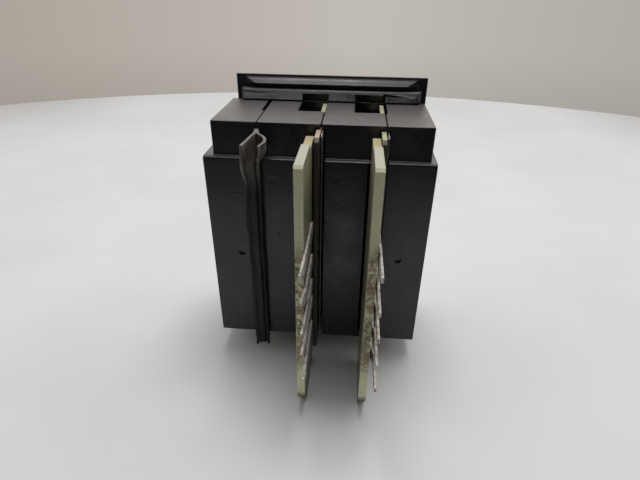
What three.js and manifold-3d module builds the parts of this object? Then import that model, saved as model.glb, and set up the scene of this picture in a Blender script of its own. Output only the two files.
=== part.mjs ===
// Two-digit thumbwheel switch module, seen from its rear as a stack of four moulded sections
// behind a one-piece front bezel. Millimetres, +Z up, front towards -Y.
// Pieces are laid out from the plane of the bezel's back face; the finished group is then moved so
// that its origin is the bottom centre of the whole part.
import * as THREE from "three";
import { mergeVertices } from "three/addons/utils/BufferGeometryUtils.js";
import Module from "manifold-3d";

const wasm = await Module();
wasm.setup();

// ---------------------------------------------------------------- driving dimensions
const pitch = 12.7;            // width of one digit module
const gap = 0.3;               // air between neighbouring pieces
const seamGap = 0.16;          // air between two stacked shells
const capWidth = 9.2;          // width of each end cap at the top
const bodyBottom = 4.9;        // underside of the stacked body
const ledgeZ = 50.1;           // top of the wide lower block
const bodyTop = 57.1;          // top of the narrow upper block
const upperRear = 19.5;        // rear face of the upper block
const lowerRear = 20.4;        // rear face of the lower block
const stepChamfer = 0.35;      // chamfer along the lower block's top rear edge
const shoulders = { left: 1.2, right: 2.0 }; // how far the lower block stands out at each side
const wall = 1.5;
const originShift = [-0.4, -21.15, 0];

const bezel = { width: 43.0, centre: -0.6, front: -4.0, top: 62.5, slope: 1.7, rim: 0.6 };
const lip = { rim: 0.35, crest: 1.95, ramp: 1.1, ledge: 2.9, toe: 0.15, foot: 2.2 };
const toeLine = { top: 3.65, bottom: 3.87, floor: 1.0, reach: 7.0 };
const lipEnds = { ramp: 1.6, foot: 1.2, taper: 5.0 };
const groove = { depth: 0.5, inset: 2.3, taper: 2.0 };

const wheel = { y: 5.6, z: 31.0, tip: 10.8, root: 9.9, teeth: 20, bore: 1.7, seat: 7.6 };
const wheelX = { start: 3.7, rim: 7.4, end: 10.9 };
const digitRing = { inner: 7.9, outer: 9.3, start: 4.0, end: 7.1 };
const axleRadius = 1.6;
const rod = { y: 14.8, heights: [12.0, 46.0], radius: 1.25, hole: 1.4, boss: 2.9 };

const board = { thick: 1.6, top: 56.1, rear: 39.8 };
const backer = { thick: 0.9, top: 56.0, rear: 25.3 };
const film = { start: -0.45, end: -0.17, rear: 22.4 };
const exit = { board: 3.05, backer: 1.2 };
const lug = { width: 2.7, thick: 0.45, start: 29.0, kink: 36.5, seat: 0.12, point: 3.4, tip: 1.0 };

// Each module starts at its seam. Its boards sit loosely in their slots, so the two modules differ
// a little in where the `board` and `backer` faces stand from the seam.
const modules = [
  { name: "tens", seam: -pitch, board: 1.13, backer: 0.15, window: 6.4 },
  { name: "units", seam: 0, board: 1.22, backer: -0.02, window: 5.65 },
];

// ---------------------------------------------------------------- materials
const paint = {
  shell: { color: 0x151517, roughness: 0.38, metalness: 0 },
  rubber: { color: 0x101011, roughness: 0.6, metalness: 0 },
  glassBoard: { color: 0x8c8f6c, roughness: 0.55, metalness: 0 },
  brownBoard: { color: 0x4a3526, roughness: 0.6, metalness: 0 },
  tin: { color: 0xb9b6b0, roughness: 0.42, metalness: 0.9 },
  brass: { color: 0xb08d3c, roughness: 0.35, metalness: 0.9 },
  steel: { color: 0x9a9b9e, roughness: 0.3, metalness: 0.9 },
  wheelBlack: { color: 0x1b1b1d, roughness: 0.45, metalness: 0 },
  digitWhite: { color: 0xe4e2da, roughness: 0.5, metalness: 0 },
};

// ---------------------------------------------------------------- solid helpers
function solidOf(geometry) {
  geometry.deleteAttribute("normal");
  geometry.deleteAttribute("uv");
  const merged = mergeVertices(geometry, 1e-4);
  return new wasm.Manifold(new wasm.Mesh({
    numProp: 3,
    vertProperties: new Float32Array(merged.attributes.position.array),
    triVerts: new Uint32Array(merged.index.array),
  }));
}

function geometryOf(solid) {
  const mesh = solid.getMesh();
  const geometry = new THREE.BufferGeometry();
  geometry.setAttribute("position", new THREE.BufferAttribute(new Float32Array(mesh.vertProperties), 3));
  geometry.setIndex(new THREE.BufferAttribute(new Uint32Array(mesh.triVerts), 1));
  geometry.computeVertexNormals();
  return geometry;
}

function box([x0, x1], [y0, y1], [z0, z1]) {
  const geometry = new THREE.BoxGeometry(x1 - x0, y1 - y0, z1 - z0);
  geometry.translate((x0 + x1) / 2, (y0 + y1) / 2, (z0 + z1) / 2);
  return solidOf(geometry);
}

function shapeOf(points) {
  return new THREE.Shape(points.map(([u, v]) => new THREE.Vector2(u, v)));
}

function extrude(shape, depth, axes, shift) {
  const options = { depth, bevelEnabled: false, steps: 1, curveSegments: 8 };
  const geometry = new THREE.ExtrudeGeometry(shape, options);
  geometry.applyMatrix4(new THREE.Matrix4().makeBasis(...axes));
  geometry.translate(...shift);
  return solidOf(geometry);
}

const X = new THREE.Vector3(1, 0, 0);
const Y = new THREE.Vector3(0, 1, 0);
const Z = new THREE.Vector3(0, 0, 1);

// Outline in (y, z), pulled along x.
function alongX(points, x0, x1) {
  return extrude(shapeOf(points), x1 - x0, [Y, Z, X], [x0, 0, 0]);
}

// Outline in (x, y), pulled along z.
function alongZ(points, z0, z1) {
  return extrude(shapeOf(points), z1 - z0, [X, Y, Z], [0, 0, z0]);
}

function roundBar([x0, x1], y, z, radius, sides = 32) {
  const geometry = new THREE.CylinderGeometry(radius, radius, x1 - x0, sides);
  geometry.rotateZ(Math.PI / 2);
  geometry.translate((x0 + x1) / 2, y, z);
  return solidOf(geometry);
}

function roundBarY([y0, y1], x, z, radius, sides = 20) {
  const geometry = new THREE.CylinderGeometry(radius, radius, y1 - y0, sides);
  geometry.translate(x, (y0 + y1) / 2, z);
  return solidOf(geometry);
}

// Constant-thickness strip that follows a centre line of points in a plane.
function ribbonOutline(line, thickness) {
  const left = [];
  const right = [];
  line.forEach(([u, v], i) => {
    const [pu, pv] = line[Math.max(i - 1, 0)];
    const [nu, nv] = line[Math.min(i + 1, line.length - 1)];
    const length = Math.hypot(nu - pu, nv - pv);
    const du = (-(nv - pv) / length) * (thickness / 2);
    const dv = ((nu - pu) / length) * (thickness / 2);
    left.push([u + du, v + dv]);
    right.unshift([u - du, v - dv]);
  });
  return [...left, ...right];
}

function join(first, ...others) {
  return others.reduce((sum, solid) => sum.add(solid), first);
}

function cut(first, ...others) {
  return others.reduce((rest, solid) => rest.subtract(solid), first);
}

const unit = new THREE.Group();

function addPiece(name, solid, look) {
  const mesh = new THREE.Mesh(geometryOf(solid), new THREE.MeshStandardMaterial(look));
  mesh.name = name;
  unit.add(mesh);
}

// ---------------------------------------------------------------- front bezel
// Side profile of one lip of height `tall`, from its outer edge to the body: a flat rim, a hollow
// ramp, a ledge and a sloping toe. `at` gives the height of a point `d` inside the outer edge.
function lipProfile(at, tall) {
  const ramp = [0, 0.35, 0.7, 1].map((part) => (
    [lip.ramp * part ** 1.35, at(lip.rim + (lip.crest - lip.rim) * part)]));
  const end = tall - seamGap;
  const toe = [[lip.ramp, at(lip.ledge)], [lip.foot, at(end - lip.toe)], [lip.foot, at(end)]];
  return [...ramp, ...toe, [0, at(end)]];
}

// Fine grooves across the outer thirds of the upper toe.
function toeLines() {
  const heights = [bezel.top - toeLine.bottom, bezel.top - toeLine.top];
  return [-12.4, 11.8].map((x) => (
    box([x, x + Math.sign(x) * toeLine.reach].sort((p, q) => p - q), [toeLine.floor, 3], heights)));
}

// Plan of a lip that runs out softly into the flat back face over `taper` at both ends.
function lipPlan(inset, taper) {
  const half = bezel.width / 2 - inset;
  const parts = [0, 0.3, 0.65, 1];
  const right = parts.map((part) => [half - taper * part, lip.foot * part ** 1.3]);
  const left = right.map(([x, y]) => [-x, y]).reverse();
  return alongZ([...right, ...left], 0, bezel.top).translate([bezel.centre, 0, 0]);
}

function lipEndsShaped(lipSolid) {
  const rampBand = box([-30, 30], [-1, 3], [lip.ledge, bezel.top - lip.ledge]);
  const ramps = cut(lipSolid, rampBand).intersect(lipPlan(lipEnds.ramp, lipEnds.taper));
  const feet = lipSolid.intersect(rampBand).intersect(lipPlan(lipEnds.foot, 0.4));
  return ramps.add(feet);
}

function bezelPlate() {
  const { width, centre, front, top, slope, rim } = bezel;
  const span = [centre - width / 2, centre + width / 2];
  const plate = alongX([
    [front, slope], [-rim, 0], [0, 0], [0, top], [-rim, top], [front, top - slope],
  ], ...span);
  const upper = alongX(lipProfile((d) => top - d, top - bodyTop).reverse(), ...span);
  const lower = alongX(lipProfile((d) => d, bodyBottom), ...span);
  return join(plate, lipEndsShaped(join(upper, lower)));
}

function wheelOpening(seam) {
  const slot = roundBar([seam + 3.3, seam + 11.3], wheel.y, wheel.z, wheel.tip + 0.4, 48);
  const recess = box([seam + 2.0, seam + 12.2], [-9, bezel.front + 0.6], [wheel.z - 8.4, wheel.z + 8.4]);
  return [slot, recess];
}

// Long shadow groove under the ramp's crest, running out at both ends.
function lipGroove(z0, z1) {
  const half = bezel.width / 2 - groove.inset;
  const outline = [
    [-half, lip.ramp + 1], [-half, 0], [groove.taper - half, -groove.depth],
    [half - groove.taper, -groove.depth], [half, 0], [half, lip.ramp + 1],
  ];
  return alongZ(outline, z0, z1).translate([bezel.centre, 0, 0]);
}

function screwPlaces() {
  const places = [];
  for (const x of [-17.2, 17.2]) {
    for (const z of [15.0, 47.0]) places.push([x, z]);
  }
  return places;
}

function makeBezel() {
  const grooves = [
    lipGroove(lip.crest, lip.ledge), lipGroove(bezel.top - lip.ledge, bezel.top - lip.crest),
  ];
  const pockets = [-1, 1].map((side) => {
    const reach = [side * 14.0, side * 20.0].sort((a, b) => a - b);
    return box(reach, [-2.6, 1], [19, 43]);
  });
  const footNotches = modules.map(({ seam, window }) => (
    box([seam - 0.1, seam + window], [-0.4, 3], [56.9, 58.6])));
  const screwHoles = screwPlaces().map(([x, z]) => roundBarY([-3, 1], x, z, 1.0));
  const openings = modules.flatMap(({ seam }) => wheelOpening(seam));
  const plate = cut(bezelPlate(), ...grooves, ...toeLines(), ...pockets, ...footNotches, ...screwHoles);
  addPiece("front_bezel", cut(plate, ...openings), paint.shell);
}

function makeBezelScrews() {
  screwPlaces().forEach(([x, z], i) => {
    const screw = join(roundBarY([-2.6, 2.4], x, z, 0.85), roundBarY([2.1, 3.4], x, z, 1.7));
    const slot = box([x - 0.2, x + 0.2], [3.0, 4], [z - 2, z + 2]);
    addPiece(`bezel_screw_${i + 1}`, cut(screw, slot), paint.steel);
  });
}

// ---------------------------------------------------------------- stacked shells
// Stepped block: a narrow upper part on a lower part that stands out at the rear and at `outer`,
// with a small chamfer along the step.
function steppedBlock(x0, x1, lowX0, lowX1) {
  const upper = box([x0, x1], [gap, upperRear], [ledgeZ - 1, bodyTop]);
  const lower = alongX([
    [gap, bodyBottom], [lowerRear, bodyBottom], [lowerRear, ledgeZ - stepChamfer],
    [lowerRear - stepChamfer, ledgeZ], [gap, ledgeZ],
  ], lowX0, lowX1);
  return upper.add(lower);
}

function rodHoles(x0, x1) {
  return rod.heights.map((z) => roundBar([x0, x1], rod.y, z, rod.hole));
}

function rodBosses(x0, x1) {
  return rod.heights.map((z) => roundBar([x0, x1], rod.y, z, rod.boss));
}

// Space beside a seam that the two circuit boards and the thin film leave through.
function boardExit(seam) {
  const main = box([seam - 1, seam + exit.board], [15, 22], [6.7, 49.7]);
  const thin = box([seam - 1, seam + exit.backer], [15, 22], [bodyBottom - 1, backer.top + gap]);
  return main.add(thin);
}

function filmRebate(seam) {
  return box([seam + film.start - 0.25, seam], [11.5, 22], [bodyBottom - 1, 56.2]);
}

function makeHousing({ name, seam, window }) {
  const x0 = seam + seamGap / 2;
  const x1 = seam + pitch - seamGap / 2;
  const inner = x1 - 1.2;
  const shell = cut(
    steppedBlock(x0, x1, x0, x1),
    box([x0 - 1, inner], [-1, upperRear - wall], [bodyBottom + wall, bodyTop - wall]),
  );
  const ribs = [7.6, 9.8].map((y) => box([seam + 7.6, inner + 0.1], [y, y + 1.2], [47.0, bodyTop - 1]));
  const filled = join(shell, ...rodBosses(seam + exit.board, inner + 0.1), ...ribs);
  const nextSeam = seam + pitch;
  const tools = [
    ...rodHoles(seam, nextSeam + 1),
    roundBar([inner - 1, x1 + 1], wheel.y, wheel.z, wheel.bore),
    box([x0 - 1, seam + window], [-1, 10.0], [bodyTop - wall - 1, bodyTop + 1]),
    boardExit(seam),
  ];
  const endModule = seam === modules.at(-1).seam;
  tools.push(endModule ? seamNotch() : filmRebate(nextSeam));
  addPiece(`${name}_module_housing`, cut(filled, ...tools), paint.shell);
}

// Rear notch at the last seam, where the folded insulator is wedged.
function seamNotch() {
  return box([pitch - 0.45, pitch + 0.45], [18.6, 23], [bodyBottom - 1, 55.9]);
}

function makeEndCap(name, side) {
  const innerEdge = pitch + seamGap / 2;
  const outer = pitch + capWidth;
  const shoulder = side > 0 ? shoulders.right : shoulders.left;
  const span = (a, b) => (side > 0 ? [a, b] : [-b, -a]);
  const block = steppedBlock(...span(innerEdge, outer), ...span(innerEdge, outer + shoulder));
  const hollow = box(span(innerEdge - 1, outer - 1.6), [1.8, upperRear - wall],
    [bodyBottom + wall, bodyTop - wall]);
  const shell = join(cut(block, hollow), ...rodBosses(...span(innerEdge, outer - 1.5)));
  const latchSlot = box(span(innerEdge - 1, innerEdge + (side > 0 ? 0.6 : 0.3)), [-1, 10.5],
    [bodyTop - wall - 1, bodyTop + 1]);
  const seats = rod.heights.map((z) => (
    roundBar(span(outer - 0.6, outer + 4), rod.y, z, 2.7)));
  const dimple = roundBarY([lowerRear - 0.6, lowerRear + 1], side * 17.4, 27.6, 0.75);
  const screwHoles = screwPlaces().map(([x, z]) => roundBarY([-1, 3], x, z, 1.0));
  const notch = side > 0 ? seamNotch() : filmRebate(-pitch);
  addPiece(name, cut(shell, latchSlot, ...seats, dimple, ...screwHoles, notch,
    ...rodHoles(...span(innerEdge - 2, outer + 4))), paint.shell);
}

// ---------------------------------------------------------------- boards and film
function boardHoles(x0, x1) {
  return rod.heights.map((z) => roundBar([x0, x1], rod.y, z, 1.6));
}

function makeCircuitBoard({ name, seam, board: start }) {
  const { top, rear } = board;
  const outline = [
    [2.0, 7.0], [22.6, 7.0], [24.0, 0], [rear - 4.0, 0], [rear, 4.6], [rear, top - 0.5],
    [rear - 0.5, top], [28.9, top], [28.9, top - 1.0], [20.9, top - 1.0], [20.9, 49.4], [17.7, 49.4],
    [17.7, 54.8], [2.0, 54.8],
  ];
  const blank = alongX(outline, seam + start, seam + start + board.thick);
  addPiece(`${name}_circuit_board`, cut(blank, ...boardHoles(seam, seam + 4),
    roundBar([seam, seam + 4], wheel.y, wheel.z, wheel.bore)), paint.glassBoard);
}

function makeBackerBoard({ name, seam, backer: start }) {
  const { top, rear } = backer;
  const outline = [
    [2.0, 7.0], [20.7, 7.0], [20.7, 5.6], [rear, 5.6], [rear, top - 0.8], [rear - 0.8, top],
    [17.8, top], [17.8, 55.2], [9.7, 55.2], [9.7, 56.8], [2.0, 56.8],
  ];
  const blank = alongX(outline, seam + start, seam + start + backer.thick);
  addPiece(`${name}_backer_board`, cut(blank, ...boardHoles(seam - 1, seam + 3)), paint.brownBoard);
}

function makeFilm({ name, seam }) {
  const outline = [
    [12.0, 6.6], [21.0, 6.6], [21.0, 50.6], [film.rear, 52.6], [film.rear, 55.4],
    [21.6, 55.9], [18.4, 55.9], [18.4, 55.2], [12.0, 55.2],
  ];
  const sheet = alongX(outline, seam + film.start, seam + film.end);
  addPiece(`${name}_insulating_film`, cut(sheet, ...boardHoles(seam - 2, seam + 2)), paint.rubber);
}

// ---------------------------------------------------------------- terminal lugs
// Flat tinned lugs soldered to the face of each circuit board and standing out past its rear edge.
// A lug steps off the face by `rise` at the kink, and its free end leans back by `lean`.
function lugLine(face, { rise, lean, end }) {
  const seat = face - lug.seat - lug.thick / 2;
  const kink = rise ? [[seat, lug.kink], [seat - rise, lug.kink + 2.0]] : [];
  const tip = lean ? [[seat - rise, board.rear + 0.5]] : [];
  return [[seat, lug.start], ...kink, ...tip, [seat - rise + lean, end]];
}

const lugSets = {
  tens: [
    { top: 41.2, rise: 0.08, lean: 0, end: 47.3 },
    { top: 34.3, rise: 0.18, lean: 0, end: 47.3 },
    { top: 28.5, rise: 0.40, lean: 0, end: 47.3 },
    { top: 22.5, rise: 0.52, lean: 0, end: 47.3 },
    { top: 16.9, rise: 0.68, lean: 0, end: 47.3 },
  ],
  units: [
    { top: 40.8, rise: 0, lean: 0.15, end: 47.5 },
    { top: 33.5, rise: 0, lean: 0.4, end: 45.0 },
    { top: 27.6, rise: 0, lean: 0.15, end: 46.0 },
    { top: 23.3, rise: 0, lean: 0.15, end: 46.6 },
    { top: 16.6, rise: 0, lean: -0.1, end: 46.0 },
  ],
};

function makeLugs({ name, seam, board: start }) {
  lugSets[name].forEach((shape, i) => {
    const outline = ribbonOutline(lugLine(seam + start, shape), lug.thick);
    const base = shape.top - lug.width;
    const plate = alongZ(outline.reverse(), base, shape.top);
    const corner = shape.end + 0.1;
    const trim = alongX([
      [shape.end - lug.point, base - 0.1], [corner, base - 0.1], [corner, shape.top - lug.tip],
    ], seam - 3, seam + 4);
    addPiece(`${name}_terminal_lug_${i + 1}`, cut(plate, trim), paint.tin);
  });
}

// ---------------------------------------------------------------- thumbwheels
function gearOutline() {
  const points = [];
  for (let tooth = 0; tooth < wheel.teeth; tooth += 1) {
    const step = (2 * Math.PI) / wheel.teeth;
    const start = tooth * step;
    [[0, wheel.root], [0.3, wheel.root], [0.42, wheel.tip], [0.88, wheel.tip]].forEach(([part, radius]) => {
      const angle = start + part * step;
      points.push([wheel.y + radius * Math.cos(angle), wheel.z + radius * Math.sin(angle)]);
    });
  }
  return points;
}

function makeWheel({ name, seam }) {
  const { start, rim, end } = wheelX;
  const drum = roundBar([seam + start, seam + rim + 0.1], wheel.y, wheel.z, wheel.seat, 48);
  const rimDisc = alongX(gearOutline(), seam + rim, seam + end);
  const pocket = cut(
    roundBar([seam + end - 2.2, seam + end + 1], wheel.y, wheel.z, 8.4, 40),
    roundBar([seam + end - 3, seam + end + 2], wheel.y, wheel.z, 3.4, 32),
  );
  const bore = roundBar([seam, seam + pitch], wheel.y, wheel.z, wheel.bore);
  addPiece(`${name}_thumbwheel`, cut(join(drum, rimDisc), pocket, bore), paint.wheelBlack);
}

function makeDigitRing({ name, seam }) {
  const x0 = seam + digitRing.start;
  const x1 = seam + digitRing.end;
  const ring = cut(
    roundBar([x0, x1], wheel.y, wheel.z, digitRing.outer, 40),
    roundBar([x0 - 1, x1 + 1], wheel.y, wheel.z, digitRing.inner, 40),
  );
  addPiece(`${name}_digit_ring`, ring, paint.digitWhite);
}

function makeWiper({ name, seam }) {
  const x0 = seam + 3.2;
  const x1 = seam + 3.42;
  const arms = [0, 1, 2].map((k) => {
    const angle = Math.PI / 2 + (k * 2 * Math.PI) / 3;
    const along = [Math.cos(angle), Math.sin(angle)];
    const across = [-along[1] * 0.6, along[0] * 0.6];
    const at = (r, side) => [
      wheel.y + along[0] * r + across[0] * side, wheel.z + along[1] * r + across[1] * side];
    return alongX([at(2.4, -1), at(5.1, -1), at(5.1, 1), at(2.4, 1)], x0, x1);
  });
  const hub = roundBar([x0, x1], wheel.y, wheel.z, 3.3);
  const bore = roundBar([x0 - 1, x1 + 1], wheel.y, wheel.z, 1.9);
  addPiece(`${name}_wiper_contact`, cut(join(hub, ...arms), bore), paint.brass);
}

function makeAxle({ name, seam }) {
  addPiece(`${name}_wheel_axle`, roundBar([seam + 1.6, seam + 12.3], wheel.y, wheel.z, axleRadius),
    paint.steel);
}

// Leaf that clicks against the teeth; its nose stops just outside the tooth tips.
function makeDetentSpring({ name, seam }) {
  const line = [[9.35, 55.2], [9.35, 46.0], [9.7, 44.4], [8.9, 42.2], [10.3, 41.2], [11.2, 42.4]];
  addPiece(`${name}_detent_spring`, alongX(ribbonOutline(line, 0.3).reverse(), seam + 8.0, seam + 10.6),
    paint.brass);
}

// ---------------------------------------------------------------- tie rods
function makeTieRods() {
  rod.heights.forEach((z, i) => {
    const place = ["lower", "upper"][i];
    const shank = roundBar([-21.6, 21.9], rod.y, z, rod.radius);
    const head = roundBar([-22.8, -21.6], rod.y, z, 2.2);
    const slot = box([-24, -22.4], [rod.y - 0.25, rod.y + 0.25], [z - 3, z + 3]);
    addPiece(`${place}_tie_rod`, cut(join(shank, head), slot), paint.steel);
    const nut = cut(roundBar([21.6, 23.1], rod.y, z, 2.4, 6), roundBar([21, 24], rod.y, z, rod.radius + 0.1));
    addPiece(`${place}_tie_nut`, nut, paint.steel);
  });
}

// ---------------------------------------------------------------- folded insulator
// Black strip folded double and wedged in the last seam: two ridges down the rear face, with a
// flap and a curled lip standing out at the top.
function makeFoldedInsulator() {
  const web = box([11.95, 15.25], [20.7, 21.3], [2.1, 52.0]);
  const fin = box([pitch - 0.18, pitch + 0.18], [19.2, 21.0], [bodyBottom + 1, 54.8]);
  const outerRidge = box([13.8, 15.25], [20.7, 22.8], [2.1, 52.0]);
  const innerRidge = box([11.95, 12.8], [20.7, 22.5], [2.1, 52.0]);
  const flapLine = [[12.6, 20.4], [13.3, 22.0], [14.3, 23.8], [14.9, 25.6]];
  const flap = alongZ(ribbonOutline(flapLine, 0.8).reverse(), 50.8, 55.8);
  const curlLine = [[12.6, 20.5], [11.3, 21.0], [10.6, 22.0], [10.8, 23.2], [11.6, 24.4]];
  const curl = alongZ(ribbonOutline(curlLine, 0.75).reverse(), 50.8, 55.8);
  const slope = alongX([[22, 55.4], [27, 52.6], [27, 57], [22, 57]], 9, 17);
  const heel = alongX([[23.0, 50.0], [27, 50.0], [27, 52.8]], 9, 17);
  addPiece("folded_insulator", cut(join(web, fin, outerRidge, innerRidge, flap, curl), slope, heel),
    paint.rubber);
}

// ---------------------------------------------------------------- assembly
makeBezel();
makeBezelScrews();
makeEndCap("left_end_cap", -1);
makeEndCap("right_end_cap", 1);
for (const digit of modules) {
  makeHousing(digit);
  makeCircuitBoard(digit);
  makeBackerBoard(digit);
  makeFilm(digit);
  makeLugs(digit);
  makeWheel(digit);
  makeDigitRing(digit);
  makeWiper(digit);
  makeAxle(digit);
  makeDetentSpring(digit);
}
makeTieRods();
makeFoldedInsulator();
unit.position.set(...originShift);

export default unit;
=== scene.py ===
"""Looks of the two-digit thumbwheel switch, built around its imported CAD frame."""
import math

import bmesh
import bpy
from mathutils import Matrix, Vector, noise


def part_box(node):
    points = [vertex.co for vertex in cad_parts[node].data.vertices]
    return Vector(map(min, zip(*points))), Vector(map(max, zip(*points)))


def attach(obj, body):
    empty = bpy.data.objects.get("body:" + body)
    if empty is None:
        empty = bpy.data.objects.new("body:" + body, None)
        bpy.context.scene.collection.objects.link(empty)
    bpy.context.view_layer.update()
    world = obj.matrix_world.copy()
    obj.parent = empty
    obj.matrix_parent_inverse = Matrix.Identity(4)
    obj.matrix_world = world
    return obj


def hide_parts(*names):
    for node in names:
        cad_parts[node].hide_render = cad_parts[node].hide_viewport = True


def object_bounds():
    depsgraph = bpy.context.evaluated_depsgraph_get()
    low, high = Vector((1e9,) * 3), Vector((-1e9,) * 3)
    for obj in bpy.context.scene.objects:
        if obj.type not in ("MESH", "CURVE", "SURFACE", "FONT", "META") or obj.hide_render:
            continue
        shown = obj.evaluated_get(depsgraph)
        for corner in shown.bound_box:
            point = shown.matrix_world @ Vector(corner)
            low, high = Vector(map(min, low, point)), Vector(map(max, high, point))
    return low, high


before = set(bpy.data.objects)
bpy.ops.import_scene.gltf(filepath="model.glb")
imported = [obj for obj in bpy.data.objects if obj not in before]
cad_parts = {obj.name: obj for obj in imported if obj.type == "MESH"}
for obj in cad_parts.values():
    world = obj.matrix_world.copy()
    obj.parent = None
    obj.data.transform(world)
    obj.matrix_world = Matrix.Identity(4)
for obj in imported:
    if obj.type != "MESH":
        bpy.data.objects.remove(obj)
cad_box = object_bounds()

MM = 0.001
MODULES = ("tens", "units")
LUGS = range(1, 6)
BODY = "switch_body"

scene = bpy.context.scene
scene.view_settings.view_transform = "Standard"


# ---------------------------------------------------------------- camera
# Place in millimetres, the two directions as unit vectors, lens and sensor width in millimetres.
CAMERA = {"place": (-6.94, 85.2, 81.68), "forward": (0.0645, -0.8633, -0.5006),
          "up": (0.0504, -0.4982, 0.8656), "lens": 25.65, "sensor": 36.0}


def make_camera():
    data = bpy.data.cameras.new("camera")
    data.sensor_width = CAMERA["sensor"]
    data.lens = CAMERA["lens"]
    data.clip_start = 0.005
    data.clip_end = 10.0
    camera = bpy.data.objects.new("camera", data)
    scene.collection.objects.link(camera)
    forward = Vector(CAMERA["forward"]).normalized()
    right = forward.cross(Vector(CAMERA["up"]).normalized()).normalized()
    up = right.cross(forward)
    turn = Matrix((right, up, -forward)).transposed()
    camera.matrix_world = Matrix.Translation(Vector(CAMERA["place"]) * MM) @ turn.to_4x4()
    scene.camera = camera


# ---------------------------------------------------------------- shader helpers
class Nodes:
    """A node tree and the few kinds of node that the looks and the world share."""

    def __init__(self, tree):
        self.tree = tree

    def node(self, kind, inputs=(), **settings):
        made = self.tree.nodes.new(kind)
        for key, value in settings.items():
            setattr(made, key, value)
        for key, value in dict(inputs).items():
            self.feed(made.inputs[key], value)
        return made

    def feed(self, socket, value):
        if isinstance(value, bpy.types.NodeSocket):
            self.tree.links.new(value, socket)
        else:
            socket.default_value = value

    def blend(self, factor, first, second, mode="MIX"):
        inputs = {0: factor, 6: first, 7: second}
        return self.node("ShaderNodeMix", inputs, data_type="RGBA", blend_type=mode).outputs[2]


class Shader(Nodes):
    """A material whose texture coordinates are millimetres in the part's own frame."""

    def __init__(self, name):
        self.material = bpy.data.materials.new(name)
        self.material.use_nodes = True
        super().__init__(self.material.node_tree)
        self.surface = self.tree.nodes["Principled BSDF"]
        coords = self.node("ShaderNodeTexCoord")
        self.place = self.scaled(coords.outputs["Object"], (1 / MM, 1 / MM, 1 / MM))

    def scaled(self, vector, scale, turn=(0, 0, 0)):
        inputs = {"Vector": vector, "Scale": scale, "Rotation": turn}
        return self.node("ShaderNodeMapping", inputs).outputs["Vector"]

    def noise(self, size, detail=4.0, rough=0.55, stretch=(1, 1, 1), turn=(0, 0, 0), distort=0.0):
        """Soft noise whose blotches are about `size` millimetres across."""
        place = self.scaled(self.place, stretch, turn)
        inputs = {"Vector": place, "Scale": 1.0 / size, "Detail": detail, "Roughness": rough,
                  "Distortion": distort}
        return self.node("ShaderNodeTexNoise", inputs).outputs["Fac"]

    def remap(self, value, low, high, to_low=0.0, to_high=1.0):
        """The value eased from `to_low` to `to_high` as it goes from `low` to `high`."""
        inputs = {"Value": value, "From Min": low, "From Max": high, "To Min": to_low,
                  "To Max": to_high}
        return self.node("ShaderNodeMapRange", inputs, interpolation_type="SMOOTHSTEP").outputs["Result"]

    def maths(self, operation, first, second=0.0):
        return self.node("ShaderNodeMath", {0: first, 1: second}, operation=operation).outputs[0]

    def chained(self, operation, first, *others):
        for other in others:
            first = self.maths(operation, first, other)
        return first

    def total(self, *values):
        return self.chained("ADD", *values)

    def product(self, *values):
        return self.chained("MULTIPLY", *values)

    def largest(self, *values):
        return self.chained("MAXIMUM", *values)

    def layered(self, colour, coats):
        """The colour under a stack of coats, each given as its cover, its strength and its colour."""
        for cover, strength, tone in coats:
            colour = self.blend(self.product(cover, strength), colour, tone)
        return colour

    def axis(self, vector, name):
        return self.node("ShaderNodeSeparateXYZ", {"Vector": vector}).outputs[name]

    def across(self):
        return self.axis(self.place, "X")

    def depth(self):
        return self.axis(self.place, "Y")

    def height(self):
        return self.axis(self.place, "Z")

    def facing(self, name):
        """The surface normal along one axis of the part, -1 to 1."""
        return self.axis(self.node("ShaderNodeNewGeometry").outputs["Normal"], name)

    def normal_part(self, name):
        """Size of the surface normal along one axis of the part, 0 to 1."""
        return self.maths("ABSOLUTE", self.facing(name))

    def spot(self, x, z, radius, squeeze=1.0):
        """Soft spot at a place on the rear faces; `squeeze` below 1 draws it out sideways."""
        flat = self.node("ShaderNodeCombineXYZ", {"X": self.product(self.across(), squeeze),
                                                  "Z": self.height()})
        inputs = {0: flat.outputs[0], 1: (x * squeeze, 0, z)}
        reach = self.node("ShaderNodeVectorMath", inputs, operation="DISTANCE").outputs["Value"]
        return self.remap(reach, radius * 1.1, radius * 0.2)

    def bump(self, value, depth_mm, strength=1.0, under=None):
        """Normal of a relief `depth_mm` deep, on top of the relief `under` it."""
        inputs = {"Height": value, "Strength": strength, "Distance": depth_mm * MM}
        if under is not None:
            inputs["Normal"] = under
        return self.node("ShaderNodeBump", inputs).outputs["Normal"]

    def finish(self, **sockets):
        for name, value in sockets.items():
            self.feed(self.surface.inputs[name.replace("_", " ")], value)
        return self.material


# ---------------------------------------------------------------- materials
# Marks on the rear faces: across, height and radius in millimetres, and a squeeze for drawn-out ones.
SCRATCH = (17.1, 42.5, 0.22, 0.14)
EJECTOR_MARKS = ((9.5, 45.5, 0.95), (-3.6, 46.1, 0.95), (8.3, 33.1, 0.4))
SCUFFS = ((-5.0, 40.2, 1.7, 0.6), (-1.0, 37.0, 1.9), (-1.2, 31.5, 1.2))


def fine_scratches(s):
    """Hair-fine scratches, some lying sideways and some upright."""
    sideways = s.noise(0.22, detail=2, stretch=(0.05, 1.0, 1.6), turn=(0.3, 0.2, 0.5))
    upright = s.noise(0.25, detail=2, stretch=(1.0, 0.7, 0.05), turn=(0.0, 0.25, 0.1))
    return s.largest(s.remap(sideways, 0.70, 0.76), s.remap(upright, 0.72, 0.78))


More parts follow.
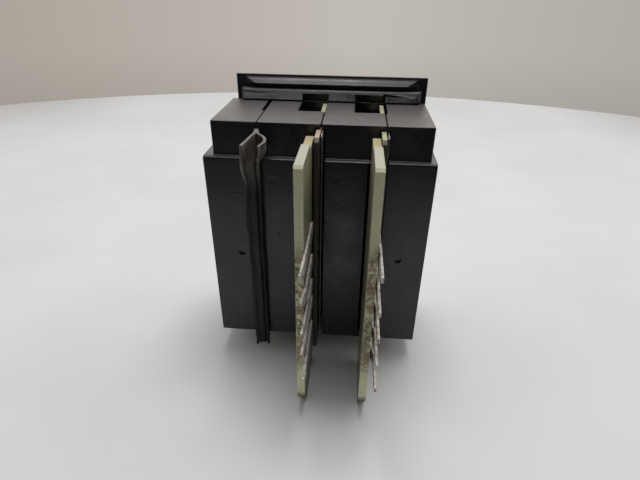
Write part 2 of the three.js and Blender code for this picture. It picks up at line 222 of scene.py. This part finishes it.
def rear_marks(s):
    """Ejector marks, a scratch and streaky scuffs, all on the rear faces."""
    firm = s.largest(*[s.spot(*mark) for mark in (SCRATCH, *EJECTOR_MARKS)])
    streaks = s.noise(0.9, detail=3, stretch=(0.4, 1.0, 1.6), turn=(0.0, 0.7, 0.0))
    scuffs = s.largest(*[s.spot(*scuff) for scuff in SCUFFS])
    scuffs = s.product(scuffs, s.remap(streaks, 0.50, 0.66))
    at_rear = s.remap(s.depth(), -1.6, -1.1)
    return s.product(s.largest(firm, scuffs), at_rear)


def black_moulding(name):
    """Semi-gloss moulded plastic with handling smears, fine scratches, a little dust, and a paler coat on
    its upward faces that is partly a dust film and partly painted sheen.
    """
    plastic, dust_film_and_sheen = (0.0125, 0.0110, 0.0132, 1), (0.078, 0.073, 0.068, 1)
    dust, scraped, shade = (0.42, 0.39, 0.35, 1), (0.30, 0.29, 0.28, 1), (0.002, 0.002, 0.002, 1)
    s = Shader(name)
    smear = s.noise(9.0, detail=5, rough=0.6, distort=0.6)
    mottle = s.noise(0.8, detail=6)
    scratches, marks = fine_scratches(s), rear_marks(s)
    upward = s.remap(s.normal_part("Z"), 0.5, 0.95)
    specks = s.remap(s.noise(0.35, detail=2, rough=0.4), 0.68, 0.78)
    settled = s.product(s.total(s.remap(smear, 0.45, 0.75, 0.0, 0.35), specks), s.total(upward, 0.25))
    colour = s.layered(plastic, (
        (settled, 0.05, dust),
        (scratches, 0.015, scraped),
        # Paler coat on upward faces: partly a dust film, partly painted sheen standing in for the light
        # they reflect.
        (upward, 0.75, dust_film_and_sheen),
        (marks, 0.7, shade),
    ))
    roughness = s.total(s.remap(smear, 0.3, 0.72, 0.25, 0.38), s.remap(mottle, 0.3, 0.8, -0.02, 0.06),
                        s.product(scratches, 0.03), s.product(marks, 0.25), s.product(upward, 0.15))
    grain = s.bump(s.total(s.noise(0.09, detail=3), s.product(mottle, 0.7)), 0.006)
    normal = s.bump(s.maths("SUBTRACT", 1.0, marks), 0.04, under=grain)
    return s.finish(Base_Color=colour, Roughness=roughness, Normal=normal, IOR=1.56,
                    Specular_Tint=(1.0, 0.95, 1.0, 1))


def laminate_face(s):
    """Broad faces of a glass-epoxy board: cloudy green-grey with a faint weave."""
    green, pale_green, thread = (0.235, 0.245, 0.150, 1), (0.31, 0.305, 0.19, 1), (0.40, 0.40, 0.27, 1)
    inputs = {"Vector": s.scaled(s.place, (0, 1, 1)), "Scale": 0.8, "Distortion": 1.0, "Detail": 2.0}
    weave = s.node("ShaderNodeTexWave", inputs, bands_direction="Z").outputs["Fac"]
    colour = s.blend(s.remap(s.noise(6.0, detail=4), 0.3, 0.7), green, pale_green)
    return s.layered(colour, [(weave, 0.15, thread)])


def laminate_edge(s, layers, fibres):
    """Sawn edges: pale layers of fibre, greyed and darkened along the top by painted shade, and
    resin-brown beside the housing.
    """
    pale, cream, straw = (0.75, 0.73, 0.47, 1), (0.83, 0.81, 0.56, 1), (0.48, 0.43, 0.25, 1)
    worn, resin = (0.345, 0.35, 0.30, 1), (0.34, 0.265, 0.115, 1)
    top = s.product(s.remap(s.normal_part("Z"), 0.6, 0.9), s.remap(s.depth(), 5.0, 7.6))
    beside_housing = s.product(s.remap(s.depth(), 8.4, 7.4), s.remap(s.depth(), -3.0, 0.0))
    colour = s.blend(s.remap(layers, 0.35, 0.65), pale, cream)
    return s.layered(colour, (
        (s.remap(fibres, 0.52, 0.8), 1.0, straw),
        # Painted shade: the colour named worn greys and darkens the top of the sawn edges against the
        # light from above.
        (top, 0.85, worn),
        (beside_housing, 0.8, resin),
    ))


def stain_zone(s):
    """Where a board is stained: along the lugs, and mostly on the side that carries them."""
    drift = s.remap(s.noise(3.5, detail=4), 0.3, 0.7, -3.5, 3.5)
    near_lugs = s.remap(s.total(s.depth(), drift), 9.0, 14.5)
    lug_side = s.remap(s.facing("X"), 0.6, 0.2, 0.12, 1.0)
    return s.product(s.remap(s.height(), 43.5, 38.0), s.remap(s.height(), 10.0, 17.0), near_lugs, lug_side)


def glass_laminate(name):
    """Glass-epoxy board with sawn edges, stained round its lugs, with a painted contact shadow darkening
    its lower tip.
    """
    s = Shader(name)
    on_face = s.remap(s.normal_part("X"), 0.55, 0.85)
    layers = s.noise(0.16, detail=3, stretch=(1.0, 0.06, 0.06))
    fibres = s.noise(0.4, detail=6, rough=0.7, stretch=(1.0, 0.35, 0.35))
    zone = stain_zone(s)
    brown = s.product(zone, s.remap(s.noise(2.4, detail=8, rough=0.7, distort=0.8), 0.42, 0.54))
    soot = s.product(zone, s.remap(s.noise(1.3, detail=8, rough=0.75, distort=1.2), 0.50, 0.58))
    specks = s.product(zone, s.remap(s.noise(0.45, detail=5, rough=0.7), 0.58, 0.66))
    # The pale flecks named flux are painted glints: light glancing off the stained edges.
    flux = s.product(zone, s.remap(s.noise(0.7, detail=6, rough=0.7, stretch=(1, 1, 0.4)), 0.60, 0.68))
    # Painted contact shadow: the tip that stands on the table is darkened.
    tip_contact_shadow = s.remap(s.height(), 6.4, 4.7)
    colour = s.blend(on_face, laminate_edge(s, layers, fibres), laminate_face(s))
    colour = s.layered(colour, (
        (brown, 0.75, (0.26, 0.185, 0.12, 1)),
        (soot, 0.8, (0.10, 0.088, 0.072, 1)),
        (specks, 0.85, (0.045, 0.035, 0.028, 1)),
        (flux, 0.7, (0.74, 0.70, 0.64, 1)),
        (tip_contact_shadow, 0.8, (0.06, 0.05, 0.032, 1)),
    ))
    roughness = s.total(s.remap(on_face, 0, 1, 0.75, 0.36), s.product(brown, 0.2))
    normal = s.bump(s.total(s.product(layers, 0.5), fibres), 0.03, strength=0.6)
    normal = s.bump(s.noise(0.3, detail=5), 0.02, strength=0.6, under=normal)
    return s.finish(Base_Color=colour, Roughness=roughness, Normal=normal)


def brown_laminate(name):
    """Brown paper laminate with a sawn top edge painted pale as painted top light, greener on the tens
    board and to the front.
    """
    dark, light, seam = (0.030, 0.021, 0.014, 1), (0.052, 0.036, 0.024, 1), (0.085, 0.058, 0.04, 1)
    tan, cream, green = (0.36, 0.24, 0.17, 1), (0.54, 0.40, 0.30, 1), (0.37, 0.37, 0.23, 1)
    s = Shader(name)
    layers = s.noise(0.12, detail=3, stretch=(1.0, 0.05, 0.05))
    cloud = s.noise(4.0, detail=5)
    face = s.blend(s.remap(cloud, 0.3, 0.7), dark, light)
    face = s.blend(s.remap(layers, 0.4, 0.7, 0.0, 0.5), face, seam)
    greener = s.largest(s.remap(s.depth(), -8.0, -11.0), s.remap(s.across(), -8.0, -10.0))
    edge = s.blend(greener, s.blend(s.remap(layers, 0.3, 0.7), tan, cream), green)
    # Painted top light: upward faces take the pale edge colour while the other faces stay dark brown.
    colour = s.blend(s.remap(s.normal_part("Z"), 0.6, 0.9), face, edge)
    normal = s.bump(s.total(layers, s.noise(0.3, detail=5)), 0.02)
    return s.finish(Base_Color=colour, Roughness=s.remap(cloud, 0.3, 0.7, 0.42, 0.6), Normal=normal)


def dull_tin(name):
    """Tinned metal under frosty solder, with coppery worn spots and flux grime in the hollows."""
    dull, bright = (0.46, 0.43, 0.39, 1), (0.82, 0.79, 0.75, 1)
    coppery, grimy = (0.50, 0.33, 0.25, 1), (0.095, 0.075, 0.06, 1)
    s = Shader(name)
    frost = s.noise(0.5, detail=7, rough=0.7)
    lumps = s.noise(1.3, detail=4, distort=0.4)
    streaks = s.noise(0.35, detail=4, stretch=(1.0, 0.12, 1.0))
    copper = s.remap(s.noise(1.9, detail=5), 0.54, 0.66)
    grime = s.remap(s.product(lumps, s.remap(streaks, 0.3, 0.7, 0.7, 1.25)), 0.46, 0.62)
    colour = s.blend(s.remap(frost, 0.35, 0.7), dull, bright)
    colour = s.layered(colour, ((copper, 0.4, coppery), (grime, 0.7, grimy)))
    roughness = s.total(s.remap(frost, 0.3, 0.75, 0.32, 0.55), s.product(grime, 0.2))
    normal = s.bump(s.total(lumps, s.product(streaks, 0.6)), 0.10, strength=0.7)
    normal = s.bump(frost, 0.03, strength=0.6, under=normal)
    return s.finish(Base_Color=colour, Metallic=s.remap(grime, 0.0, 0.8, 0.45, 0.1), Roughness=roughness,
                    Normal=normal)


def plated_metal(name, bright, tarnished, rough):
    """Lightly brushed plated metal, clouded by tarnish."""
    s = Shader(name)
    cloud = s.noise(1.6, detail=5)
    colour = s.blend(s.remap(cloud, 0.35, 0.7), (*bright, 1), (*tarnished, 1))
    normal = s.bump(s.noise(0.12, detail=3, stretch=(0.08, 1, 1)), 0.006, strength=0.7)
    return s.finish(Base_Color=colour, Metallic=0.95, Normal=normal,
                    Roughness=s.remap(cloud, 0.3, 0.7, rough - 0.06, rough + 0.1))


def soft_black(name):
    """Limp black insulating sheet: matt, wrinkled, greyed by dust, paler higher up, and with a painted
    highlight along its upward cut edge.
    """
    rubber, dust = (0.0060, 0.0058, 0.0062, 1), (0.40, 0.37, 0.32, 1)
    paler_above, cut = (0.21, 0.19, 0.175, 1), (0.50, 0.49, 0.46, 1)
    s = Shader(name)
    wrinkle = s.noise(1.2, detail=4, stretch=(1, 1, 0.35))
    dusty = s.remap(s.noise(1.8, detail=6, rough=0.65, stretch=(1, 1, 0.5)), 0.42, 0.72)
    raised = s.remap(s.height(), 42.0, 50.0)
    colour = s.layered(rubber, (
        (dusty, s.remap(raised, 0, 1, 0.02, 0.09), dust),
        # Paler higher up, in patches along the wrinkles.
        (raised, s.remap(wrinkle, 0.35, 0.65, 0.3, 1.0), paler_above),
        # Painted highlight: the upward faces, along the top cut edge, are made paler.
        (s.remap(s.normal_part("Z"), 0.7, 0.95), 0.16, cut),
    ))
    normal = s.bump(s.total(wrinkle, s.product(s.noise(0.15, detail=4), 0.4)), 0.05, strength=0.6)
    return s.finish(Base_Color=colour, Roughness=s.remap(wrinkle, 0.3, 0.7, 0.45, 0.62), Normal=normal)


def smoky_film(name):
    """Smoke-grey plastic film, a little cloudy, with a glossy skin."""
    smoke, pale_smoke = (0.085, 0.088, 0.086, 1), (0.16, 0.165, 0.155, 1)
    s = Shader(name)
    cloud = s.noise(1.4, detail=5)
    colour = s.blend(s.remap(cloud, 0.3, 0.7), smoke, pale_smoke)
    normal = s.bump(cloud, 0.03, strength=0.5)
    return s.finish(Base_Color=colour, Roughness=s.remap(cloud, 0.3, 0.7, 0.25, 0.42), Normal=normal)


def wheel_plastic(name):
    """Black plastic of the thumbwheels, greyer and smoother where it is worn."""
    black, rubbed = (0.014, 0.014, 0.016, 1), (0.05, 0.05, 0.052, 1)
    s = Shader(name)
    worn = s.remap(s.noise(1.5, detail=6), 0.4, 0.7)
    colour = s.layered(black, [(worn, 0.35, rubbed)])
    normal = s.bump(s.noise(0.12, detail=4), 0.01)
    return s.finish(Base_Color=colour, Roughness=s.remap(worn, 0, 1, 0.42, 0.30), Normal=normal)


def digit_ivory(name):
    """Ivory plastic of the digit rings, yellowed in places."""
    ivory, yellowed = (0.78, 0.765, 0.70, 1), (0.70, 0.675, 0.59, 1)
    s = Shader(name)
    aged = s.remap(s.noise(2.5, detail=5), 0.35, 0.7)
    normal = s.bump(s.noise(0.2, detail=4), 0.006)
    return s.finish(Base_Color=s.blend(aged, ivory, yellowed), Normal=normal,
                    Roughness=s.remap(aged, 0, 1, 0.35, 0.5))


def pale_floor(name):
    """Pale, faintly cloudy table top, with painted shade dimming its far corners."""
    pale, paler, dim = (0.635, 0.645, 0.655, 1), (0.685, 0.695, 0.70, 1), (0.42, 0.41, 0.40, 1)
    s = Shader(name)
    colour = s.blend(s.remap(s.noise(60.0, detail=3), 0.3, 0.7), pale, paler)
    aside = s.remap(s.maths("ABSOLUTE", s.across()), 130.0, 250.0)
    distant = s.remap(s.depth(), -120.0, -240.0)
    # Painted shade: the far corners are darkened.
    colour = s.layered(colour, [(s.product(aside, distant), 0.8, dim)])
    normal = s.bump(s.noise(1.5, detail=4), 0.02, strength=0.3)
    return s.finish(Base_Color=colour, Roughness=0.65, Normal=normal)


LOOKS = {
    "shell": black_moulding("black_shell"),
    "rubber": soft_black("soft_black"),
    "glass_board": glass_laminate("glass_laminate"),
    "brown_board": brown_laminate("brown_laminate"),
    "tin": dull_tin("dull_tin"),
    "brass": plated_metal("spring_brass", (0.66, 0.47, 0.20), (0.45, 0.30, 0.12), 0.30),
    "steel": plated_metal("plated_steel", (0.58, 0.58, 0.60), (0.38, 0.37, 0.36), 0.32),
    "wheel_black": wheel_plastic("wheel_plastic"),
    "digit_white": digit_ivory("digit_ivory"),
}
FILM = smoky_film("smoky_film")


# ---------------------------------------------------------------- piece helpers
# How CAD shapes are softened: lengths in millimetres, angles in degrees.
SOFTENING = {"merge": 0.002, "flat": 0.6, "sharp": 30, "segments": 2, "profile": 0.6}
SHORTEST_EDGE = 1.2    # widths of the rounding
SMOOTH_BELOW = 62


def new_piece(name, bm, slot, body=BODY):
    bmesh.ops.recalc_face_normals(bm, faces=bm.faces)
    mesh = bpy.data.meshes.new(name)
    bm.to_mesh(mesh)
    bm.free()
    for face in mesh.polygons:
        face.use_smooth = True
    mesh.set_sharp_from_angle(angle=math.radians(SMOOTH_BELOW))
    mesh.materials.append(LOOKS[slot])
    piece = bpy.data.objects.new(name, mesh)
    scene.collection.objects.link(piece)
    shading = piece.modifiers.new("flat_faces", "WEIGHTED_NORMAL")
    shading.keep_sharp = True
    shading.weight = 80
    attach(piece, body)
    return piece


def outer_edges(bm, width):
    """Edges between two faces that meet sharply and are long enough to be rounded."""
    sharp = math.radians(SOFTENING["sharp"])
    shortest = SHORTEST_EDGE * width * MM
    return [edge for edge in bm.edges if len(edge.link_faces) == 2 and edge.calc_length() > shortest
            and edge.calc_face_angle() > sharp]


def softened(node, slot, width, body=BODY):
    """The CAD node's shape with its flat faces made whole and its outer edges rounded."""
    bm = bmesh.new()
    bm.from_mesh(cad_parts[node].data)
    bmesh.ops.remove_doubles(bm, verts=bm.verts, dist=SOFTENING["merge"] * MM)
    flat = math.radians(SOFTENING["flat"])
    bmesh.ops.dissolve_limit(bm, angle_limit=flat, verts=bm.verts, edges=bm.edges)
    bmesh.ops.bevel(bm, geom=outer_edges(bm, width), offset=width * MM, affect="EDGES",
                    segments=SOFTENING["segments"], profile=SOFTENING["profile"],
                    clamp_overlap=False, loop_slide=True)
    piece = new_piece(f"{node}_body", bm, slot, body)
    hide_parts(node)
    return piece


# ---------------------------------------------------------------- pieces
def make_shells():
    softened("front_bezel", "shell", 0.25)
    softened("left_end_cap", "shell", 0.2)
    softened("right_end_cap", "shell", 0.2)
    for name in MODULES:
        softened(f"{name}_module_housing", "shell", 0.2)


def make_boards():
    for name in MODULES:
        softened(f"{name}_circuit_board", "glass_board", 0.07)
        softened(f"{name}_backer_board", "brown_board", 0.05)
        film = softened(f"{name}_insulating_film", "rubber", 0.04)
        film.data.materials[0] = FILM


def make_hardware():
    for place in ("lower", "upper"):
        softened(f"{place}_tie_rod", "steel", 0.1)
        softened(f"{place}_tie_nut", "steel", 0.1)
    for i in range(1, 5):
        softened(f"bezel_screw_{i}", "steel", 0.08)
    for name in MODULES:
        softened(f"{name}_detent_spring", "brass", 0.04)
        softened(f"{name}_wheel_axle", "steel", 0.1)
        softened(f"{name}_wiper_contact", "brass", 0.03, body=f"{name}_wheel")


def make_wheels():
    for name in MODULES:
        softened(f"{name}_thumbwheel", "wheel_black", 0.14, body=f"{name}_wheel")
        softened(f"{name}_digit_ring", "digit_white", 0.1, body=f"{name}_wheel")
        make_digits(name)


def make_lugs():
    for name in MODULES:
        for i in LUGS:
            softened(f"{name}_terminal_lug_{i}", "tin", 0.08)


# ---------------------------------------------------------------- digits
# Pen strokes of the digits 0 to 9 on a grid 2 wide and 4 high.
STROKES = (
    [(0, 1), (0, 3), (0.5, 4), (1.5, 4), (2, 3), (2, 1), (1.5, 0), (0.5, 0), (0, 1)],
    [(0.4, 3.2), (1.1, 4), (1.1, 0)],
    [(0, 3.2), (0.5, 4), (1.5, 4), (2, 3.2), (2, 2.5), (0, 0), (2, 0)],
    [(0, 4), (2, 4), (0.9, 2.4), (1.6, 2.2), (2, 1.5), (2, 0.8), (1.5, 0), (0.5, 0), (0, 0.7)],
    [(1.5, 0), (1.5, 4), (0, 1.2), (2, 1.2)],
    [(1.9, 4), (0.2, 4), (0.1, 2.2), (1.4, 2.4), (2, 1.7), (2, 0.8), (1.5, 0), (0.5, 0), (0, 0.6)],
    [(1.7, 4), (0.7, 3.4), (0, 2), (0, 0.8), (0.5, 0), (1.5, 0), (2, 0.8), (2, 1.6), (1.5, 2.3),
     (0.5, 2.3), (0, 1.6)],
    [(0, 4), (2, 4), (0.8, 0)],
    [(1, 2.2), (0.2, 2.8), (0.2, 3.4), (0.6, 4), (1.4, 4), (1.8, 3.4), (1.8, 2.8), (1, 2.2), (0, 1.5),
     (0, 0.7), (0.5, 0), (1.5, 0), (2, 0.7), (2, 1.5), (1, 2.2)],
    [(0.3, 0), (1.3, 0.6), (2, 2), (2, 3.2), (1.5, 4), (0.5, 4), (0, 3.2), (0, 2.4), (0.5, 1.7),
     (1.5, 1.7), (2, 2.4)],
)
GRID_MIDDLE = (1, 2)
# Lengths in millimetres: a step of the grid, the pen's width, how far the ink stands out of the
# ring and reaches into it, and the longest piece of a stroke that stays straight on the ring.
DIGIT = {"unit": 0.78, "pen": 0.42, "proud": 0.03, "sunk": 0.05, "straight": 0.45}


def resampled(line, step):
    """The same line with extra points, so that no two neighbours are further apart than `step`."""
    points = [Vector(line[0])]
    for start, end in zip(map(Vector, line), map(Vector, line[1:])):
        count = max(1, math.ceil((end - start).length / step))
        points += [start.lerp(end, i / count) for i in range(1, count + 1)]
    return points


def stroke_sides(line, i):
    """The two points at the sides of a pen stroke beside its point `i`, mitred where it turns."""
    half = DIGIT["pen"] / 2
    last = len(line) - 1
    here, before, after = line[i], line[max(i - 1, 0)], line[min(i + 1, last)]
    into = (here - before).normalized() if i else (after - here).normalized()
    out = (after - here).normalized() if i < last else into
    mitre = (into + out).normalized()
    side = Vector((-mitre.y, mitre.x)) * min(half / max(mitre.dot(into), 0.5), half * 1.6)
    cap = into * half * ((i == last) - (i == 0))
    return here + cap + side, here + cap - side


def add_stroke(bm, line, wrap):
    """One raised pen stroke; `wrap(point, height)` bends the flat drawing on to the ring."""
    low, high = [], []
    for i in range(len(line)):
        sides = stroke_sides(line, i)
        low.append([bm.verts.new(wrap(point, -DIGIT["sunk"])) for point in sides])
        high.append([bm.verts.new(wrap(point, DIGIT["proud"])) for point in sides])
    for j in range(len(line) - 1):
        for a, b in ((low[j], low[j + 1]), (high[j], high[j + 1])):
            bm.faces.new((a[0], b[0], b[1], a[1]))
        for k in (0, 1):
            bm.faces.new((low[j][k], low[j + 1][k], high[j + 1][k], high[j][k]))
    for j in (0, -1):
        bm.faces.new((low[j][0], low[j][1], high[j][1], high[j][0]))


def ring_wrap(middle, radius, start):
    """The bend that lays a flat drawing round a ring, with its middle at the angle `start`."""
    def wrap(point, height):
        angle = start + point.y * MM / radius
        reach = radius + height * MM
        return Vector((middle.x + point.x * MM, middle.y - reach * math.cos(angle),
                       middle.z + reach * math.sin(angle)))
    return wrap


def make_digits(name):
    """Digits 0 to 9 printed round the ring, with 0 facing the front at rest."""
    low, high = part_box(f"{name}_digit_ring")
    radius = (high.z - low.z) / 2
    bm = bmesh.new()
    for digit, stroke in enumerate(STROKES):
        start = math.radians(360 / len(STROKES) * digit)
        flat = [(Vector(point) - Vector(GRID_MIDDLE)) * DIGIT["unit"] for point in stroke]
        add_stroke(bm, resampled(flat, DIGIT["straight"]), ring_wrap((low + high) / 2, radius, start))
    new_piece(f"{name}_digits", bm, "wheel_black", f"{name}_wheel")


# ---------------------------------------------------------------- folded insulator
# Each leaf's cross-section in millimetres from the seam: `open` at its top and `shut` lower down.
# `gape` is how far below its top it starts to open and is wholly open, `droop` is how far its free
# edge sinks at the top, and `seed` gives each leaf ripples of its own.
LEAVES = {
    "left": {"open": [(0.2, -1.2), (0.15, 0.1), (0.8, 1.5), (1.5, 3.0), (2.15, 4.6)],
             "shut": [(0.2, -1.2), (0.5, 0.25), (1.6, 0.45), (2.5, 0.75), (2.3, 1.55)],
             "gape": (11.5, 2.5), "droop": 1.7, "thick": 0.6, "seed": 1},
    "right": {"open": [(-0.1, -1.2), (-0.5, 0.2), (-1.6, 0.7), (-1.95, 2.1), (-1.0, 4.0)],
              "shut": [(0.0, -1.2), (-0.1, 0.1), (-0.35, 0.45), (-0.4, 0.9), (0.0, 1.15)],
              "gape": (7.0, 2.0), "droop": 1.9, "thick": 0.55, "seed": 2},
}
SEAM = {"across": 2.4, "depth": 1.5}    # millimetres from the low corner of the folded sheet's box
LEAF_LEVELS = 70
LEAF_PARTS = 14


def curve_point(points, part):
    """Point at `part` (0 to 1) along a smooth curve through the points."""
    spot = part * (len(points) - 1)
    i = min(int(spot), len(points) - 2)
    t = spot - i
    p = [Vector(points[max(0, min(k, len(points) - 1))]) for k in (i - 1, i, i + 1, i + 2)]
    return 0.5 * (2 * p[1] + (p[2] - p[0]) * t + (2 * p[0] - 5 * p[1] + 4 * p[2] - p[3]) * t * t
                  + (3 * p[1] - p[0] - 3 * p[2] + p[3]) * t ** 3)


def smooth_step(low, high, value):
    t = max(0.0, min(1.0, (value - low) / (high - low)))
    return t * t * (3 - 2 * t)


def leaf_point(leaf, height, top, part):
    """Point of a leaf in millimetres from the foot of the seam, `part` of the way to its free edge."""
    starts, ends = (top - below for below in leaf["gape"])
    gape = smooth_step(starts, ends, height)
    spot = curve_point(leaf["shut"], part).lerp(curve_point(leaf["open"], part), gape)
    wave = noise.noise(Vector((leaf["seed"] * 7.0, part * 1.3, height * 0.16)))
    ripple = noise.noise(Vector((leaf["seed"] * 3.0, part * 2.5, height * 0.55)))
    sway = part * (0.32 * wave + 0.10 * ripple)
    droop = leaf["droop"] * part * smooth_step(starts, top, height)
    return Vector((spot.x + sway, spot.y + 0.5 * sway, height - droop))


def sheet_side(bm, rows, offset):
    """Vertices of one side of a sheet, `offset` away from its middle surface."""
    side = []
    for row in rows:
        made = []
        for i, point in enumerate(row):
            along = row[min(i + 1, len(row) - 1)] - row[max(i - 1, 0)]
            made.append(bm.verts.new(point + Vector((along.y, -along.x, 0)).normalized() * offset))
        side.append(made)
    return side


def sheet_piece(name, rows, thick, slot):
    """Sheet through rows of points, thickened to both sides and closed along its edges."""
    bm = bmesh.new()
    back, front = (sheet_side(bm, rows, thick * sign) for sign in (-0.5, 0.5))
    top, edge = len(rows) - 1, len(rows[0]) - 1
    for j in range(top):
        for i in range(edge):
            for side in (back, front):
                bm.faces.new((side[j][i], side[j][i + 1], side[j + 1][i + 1], side[j + 1][i]))
        for i in (0, edge):
            bm.faces.new((back[j][i], back[j + 1][i], front[j + 1][i], front[j][i]))
    for j in (0, top):
        for i in range(edge):
            bm.faces.new((back[j][i], back[j][i + 1], front[j][i + 1], front[j][i]))
    return new_piece(name, bm, slot)


def make_leaf(side, seam_foot, top):
    leaf = LEAVES[side]
    rows = []
    for level in range(LEAF_LEVELS + 1):
        height = top * level / LEAF_LEVELS
        points = [leaf_point(leaf, height, top, i / LEAF_PARTS) for i in range(LEAF_PARTS + 1)]
        rows.append([seam_foot + point * MM for point in points])
    return sheet_piece(f"insulator_{side}_leaf", rows, leaf["thick"] * MM, "rubber")


def make_folded_insulator():
    """Sheet wedged in the last seam: two leaves that gape at the top and lie folded lower down."""
    low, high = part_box("folded_insulator")
    seam_foot = Vector((low.x + SEAM["across"] * MM, low.y + SEAM["depth"] * MM, low.z))
    top = (high.z - low.z) / MM
    left_piece = make_leaf("left", seam_foot, top)
    make_leaf("right", seam_foot, top)
    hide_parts("folded_insulator")


# ---------------------------------------------------------------- stage
# The round table in millimetres: radius, middle, where it is cut off on the camera's side, and the
# gap under the part.
TABLE = {"radius": 450.0, "centre_y": 155.0, "near": 94.0, "steps": 96, "below": 0.02}


def make_floor():
    """Pale round table top, cut off straight behind the camera, where the room is dark."""
    bm = bmesh.new()
    rim = []
    for i in range(TABLE["steps"]):
        angle = 2 * math.pi * i / TABLE["steps"]
        x = TABLE["radius"] * math.cos(angle)
        y = min(TABLE["near"], TABLE["centre_y"] + TABLE["radius"] * math.sin(angle))
        rim.append(bm.verts.new((x * MM, y * MM, 0)))
    bm.faces.new(rim)
    mesh = bpy.data.meshes.new("floor")
    bm.to_mesh(mesh)
    bm.free()
    mesh.materials.append(pale_floor("pale_floor"))
    floor = bpy.data.objects.new("floor", mesh)
    scene.collection.objects.link(floor)
    floor.location.z = cad_box[0][2] - TABLE["below"] * MM


def grey(value):
    return (value, value, value)


# What surrounds the part: each stop is a place along one direction, -1 to 1, and its colour.
FAR_SIDE = ((-1, grey(0.02)), (-0.05, grey(0.05)), (0.02, (0.44, 0.40, 0.37)), (0.2, (0.92, 0.86, 0.81)),
            (0.42, (0.90, 0.85, 0.81)), (0.7, grey(0.38)), (1, grey(0.14)))
NEAR_SIDE = ((-1, grey(0.004)), (-0.05, grey(0.006)), (0.3, grey(0.012)), (0.6, grey(0.03)),
             (0.85, grey(0.09)), (1, grey(0.14)))
NEARNESS = ((-1, grey(0.0)), (-0.05, grey(0.0)), (0.55, grey(1.0)), (1, grey(1.0)))
WALL_TONE = ((-1, (0.30, 0.29, 0.275)), (-0.5, (0.425, 0.405, 0.375)), (0, (0.535, 0.50, 0.465)),
             (0.5, (0.435, 0.40, 0.355)), (1, (0.30, 0.28, 0.25)))
WALL_SHADE = ((-1, grey(0.8)), (-0.24, grey(0.84)), (-0.12, grey(1.0)), (1, grey(1.0)))
ROOM_LIGHT = 1.8


def ramp(world, source, stops):
    """Colour that follows the stops as the source goes from -1 to 1."""
    spread = world.node("ShaderNodeMapRange", {"Value": source, "From Min": -1.0, "From Max": 1.0})
    band = world.node("ShaderNodeValToRGB", {"Fac": spread.outputs["Result"]})
    elements = band.color_ramp.elements
    for _ in range(len(stops) - 2):
        elements.new(0.5)
    for element, (place, colour) in zip(elements, stops):
        element.position = (place + 1) / 2
        element.color = (*colour, 1)
    return band.outputs["Color"]


def make_world():
    """Bright wall and ceiling beyond the part, a dim room on the camera's side."""
    scene.world = bpy.data.worlds.new("studio")
    scene.world.use_nodes = True
    world = Nodes(scene.world.node_tree)
    world.tree.nodes.clear()
    coords = world.node("ShaderNodeTexCoord")
    x, y, z = world.node("ShaderNodeSeparateXYZ", {0: coords.outputs["Generated"]}).outputs
    room = world.blend(ramp(world, y, NEARNESS), ramp(world, z, FAR_SIDE), ramp(world, z, NEAR_SIDE))
    wall = world.blend(1.0, ramp(world, x, WALL_TONE), ramp(world, z, WALL_SHADE), mode="MULTIPLY")
    lighting = world.node("ShaderNodeBackground", {"Color": room, "Strength": ROOM_LIGHT})
    backdrop = world.node("ShaderNodeBackground", {"Color": wall})
    seen = world.node("ShaderNodeLightPath").outputs["Is Camera Ray"]
    inputs = {0: seen, 1: lighting.outputs[0], 2: backdrop.outputs[0]}
    choice = world.node("ShaderNodeMixShader", inputs)
    world.node("ShaderNodeOutputWorld", {"Surface": choice.outputs[0]})


def add_lamp(name, place, aim, size, power):
    data = bpy.data.lights.new(name, "AREA")
    data.shape = "RECTANGLE"
    data.size, data.size_y = size
    data.energy = power
    lamp = bpy.data.objects.new(name, data)
    scene.collection.objects.link(lamp)
    lamp.location = place
    lamp.rotation_euler = (Vector(aim) - Vector(place)).to_track_quat("-Z", "Y").to_euler()
    return lamp


def make_lamps():
    add_lamp("ceiling", place=(-0.03, -0.095, 0.50), aim=(0, 0, 0.02), size=(0.28, 0.16), power=1.35)
    glint = add_lamp("glint", place=(0.035, 0.26, 0.44), aim=(0, 0, 0.05), size=(0.20, 0.12), power=0.8)
    glint.visible_diffuse = False


# ---------------------------------------------------------------- build
make_camera()
make_shells()
make_boards()
make_hardware()
make_wheels()
make_lugs()
make_folded_insulator()
make_floor()
make_world()
make_lamps()
